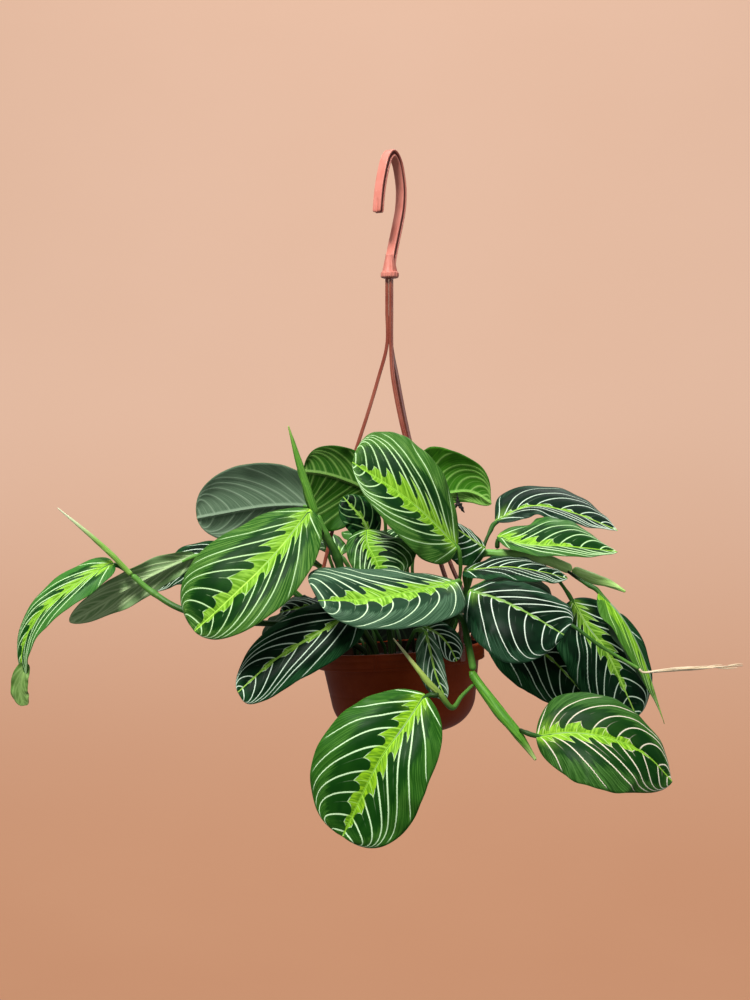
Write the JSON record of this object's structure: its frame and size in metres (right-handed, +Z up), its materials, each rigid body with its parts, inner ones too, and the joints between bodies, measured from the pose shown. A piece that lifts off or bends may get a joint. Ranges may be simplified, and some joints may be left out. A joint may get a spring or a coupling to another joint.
{
  "type": "potted prayer plant in a hanging pot",
  "caption": "Trailing patterned-leaf house plant in a small terracotta-coloured plastic pot with a clip-on hook hanger.",
  "frame": {"origin": "inside of the hook's bend, where the hook rests on whatever carries it", "axes": "+Z up; the plant's best side looks towards -Y; +X is to the right as seen from there"},
  "size_m": [0.5283, 0.2575, 0.4991],
  "materials": {
    "hook_plastic": "satin moulded plastic, faded terracotta pink",
    "leg_plastic": "satin moulded plastic, reddish brown",
    "pot_plastic": "satin moulded plastic, dark terracotta",
    "potting_mix": "moist crumbly peat and bark",
    "green_stem": "smooth, waxy, slightly ribbed",
    "young_sheath": "smooth, waxy, pale green",
    "dry_bract": "dry and papery, frayed",
    "leaf_blade": "satin leaf with pale veins, dark blotches and a lime band along the midrib"
  },
  "bodies": {
    "root": {"flower_bract": "dry_bract", "flower_stalk": "green_stem", "hanger_hook": "hook_plastic", "hanger_leg_back": "leg_plastic", "hanger_leg_front": "leg_plastic", "hanger_leg_left": "leg_plastic", "leaf_back_centre_left": "leaf_blade", "leaf_back_left": "leaf_blade", "leaf_back_left_low": "leaf_blade", "leaf_back_left_upper": "leaf_blade", "leaf_back_low": "leaf_blade", "leaf_back_middle": "leaf_blade", "leaf_back_right": "leaf_blade", "leaf_back_right_low": "leaf_blade", "leaf_back_right_side": "leaf_blade", "leaf_back_upper": "leaf_blade", "leaf_centre": "leaf_blade", "leaf_centre_small": "leaf_blade", "leaf_centre_young": "leaf_blade", "leaf_front_folded": "leaf_blade", "leaf_front_low": "leaf_blade", "leaf_front_small": "leaf_blade", "leaf_left_behind": "leaf_blade", "leaf_left_big": "leaf_blade", "leaf_left_far": "leaf_blade", "leaf_left_inner": "leaf_blade", "leaf_left_outer": "leaf_blade", "leaf_left_top": "leaf_blade", "leaf_lower_left": "leaf_blade", "leaf_lower_right": "leaf_blade", "leaf_right_edge": "leaf_blade", "leaf_right_far": "leaf_blade", "leaf_right_lower": "leaf_blade", "leaf_right_middle": "leaf_blade", "leaf_right_outer": "leaf_blade", "leaf_right_thin": "leaf_blade", "leaf_right_top": "leaf_blade", "leaf_right_upper": "leaf_blade", "leaf_top_centre": "leaf_blade", "pot": "pot_plastic", "rolled_leaf_front": "young_sheath", "rolled_leaf_left": "young_sheath", "rolled_leaf_top": "young_sheath", "sheath_front": "young_sheath", "sheath_right": "young_sheath", "soil": "potting_mix", "stem_front": "green_stem", "stem_left": "green_stem", "stem_right": "green_stem", "stem_top": "green_stem"}
  },
  "joints": []
}
